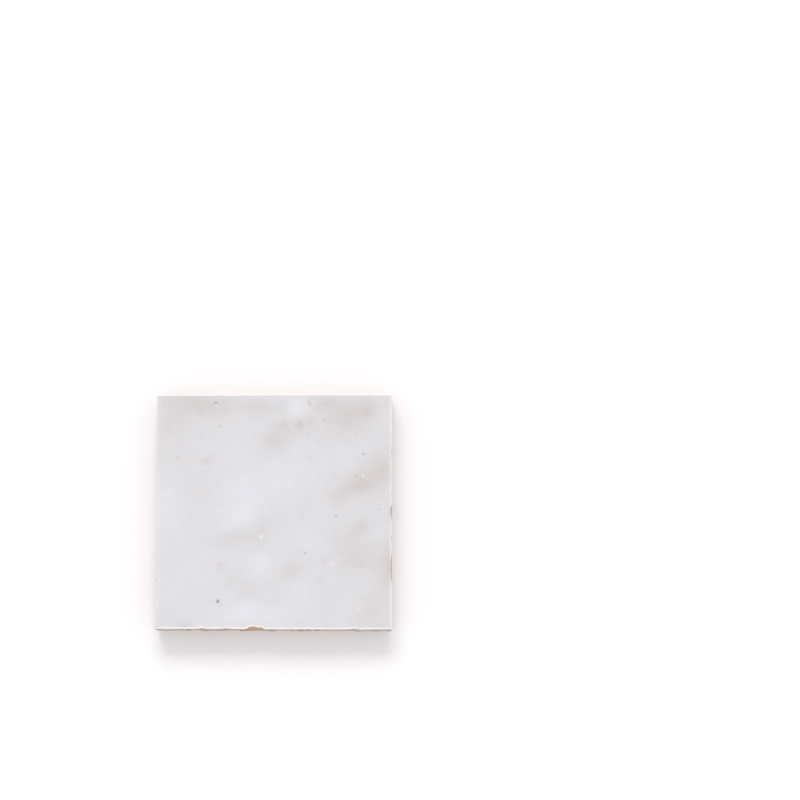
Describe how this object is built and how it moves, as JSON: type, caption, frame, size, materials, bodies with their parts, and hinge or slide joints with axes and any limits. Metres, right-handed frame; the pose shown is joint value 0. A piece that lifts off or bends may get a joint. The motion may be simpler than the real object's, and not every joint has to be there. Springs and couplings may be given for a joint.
{
  "type": "zellige tile",
  "caption": "Square hand-cut fired clay wall tile with an off-white glazed face, chisel-dressed undercut sides, a chipped front edge and a flat raw back.",
  "frame": {"origin": "centre of the flat raw back, under the middle of the face, z=0", "axes": "+Z out of the glazed face, +Y towards the top edge in the picture, +X to the right"},
  "size_m": [0.1, 0.1004, 0.011],
  "materials": {
    "glazed_clay": "gloss"
  },
  "bodies": {
    "root": {"zellige_tile": "glazed_clay"}
  },
  "joints": []
}
